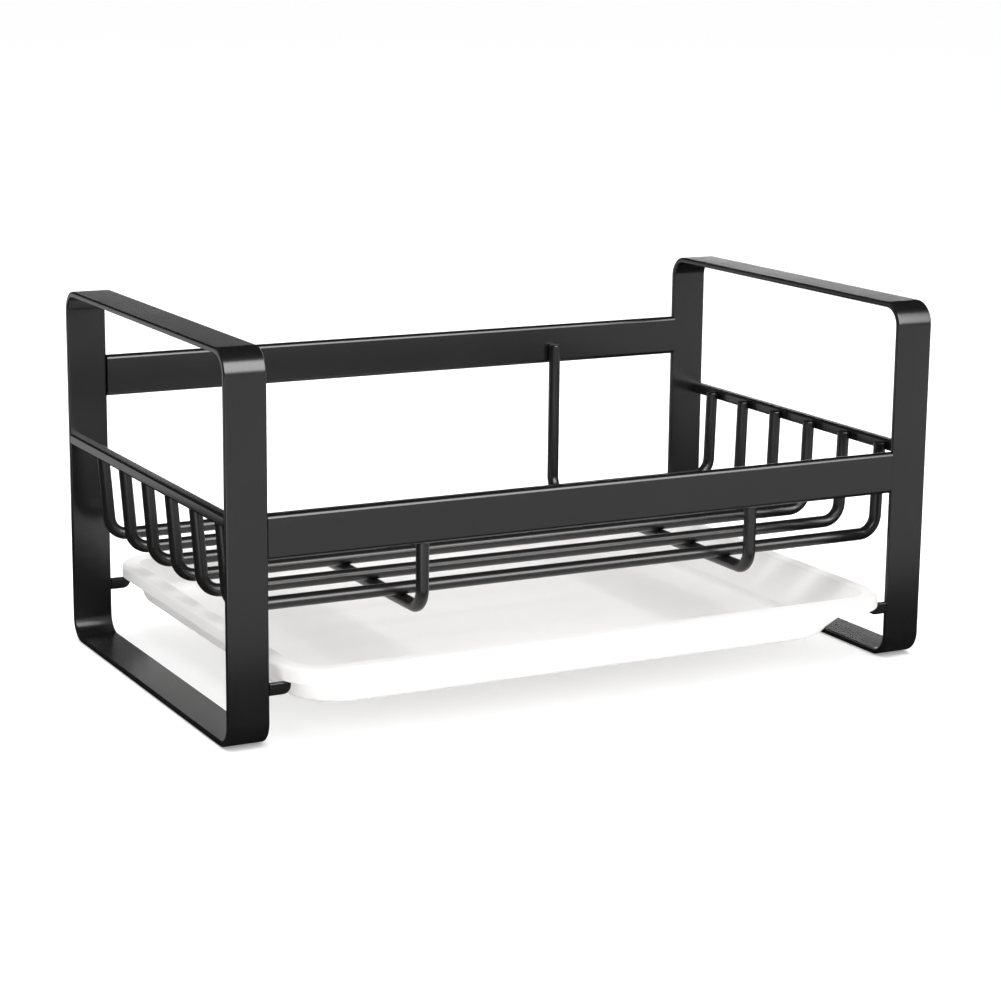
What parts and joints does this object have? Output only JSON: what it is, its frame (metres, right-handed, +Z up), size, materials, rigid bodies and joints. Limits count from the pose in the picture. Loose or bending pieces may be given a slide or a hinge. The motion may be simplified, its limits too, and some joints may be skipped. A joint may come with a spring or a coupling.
{
  "type": "dish drying rack",
  "caption": "Countertop dish drying rack: flat-bar end hoops joined by rails, a welded wire basket, and a white drip tray that slides out.",
  "frame": {"origin": "on the ground, midway between the two end hoops and midway between their front and back legs", "axes": "+X to the right along the length, +Y to the back (the higher rail), +Z up; the tray slides out along -Y"},
  "size_m": [0.395, 0.258, 0.19],
  "materials": {
    "bar_coating": "satin black powder coat",
    "wire_coating": "satin black powder coat on round wire",
    "tray_plastic": "moulded white polypropylene, soft sheen"
  },
  "bodies": {
    "frame": {"left_hoop": "bar_coating", "right_hoop": "bar_coating", "front_rail": "bar_coating", "back_rail": "bar_coating", "left_side_bar": "bar_coating", "right_side_bar": "bar_coating", "basket_wire_1": "wire_coating", "basket_wire_2": "wire_coating", "basket_wire_3": "wire_coating", "basket_wire_4": "wire_coating", "basket_wire_5": "wire_coating", "basket_wire_6": "wire_coating", "left_cross_wire": "wire_coating", "right_cross_wire": "wire_coating", "front_left_ledge": "bar_coating", "front_right_ledge": "bar_coating", "back_left_ledge": "bar_coating", "back_right_ledge": "bar_coating"},
    "tray": {"drip_tray": "tray_plastic"}
  },
  "joints": [
    {"name": "tray_slide", "type": "slide", "parent": "frame", "child": "tray", "axis": [0, -1, 0], "range_m": [0, 0.26]}
  ]
}
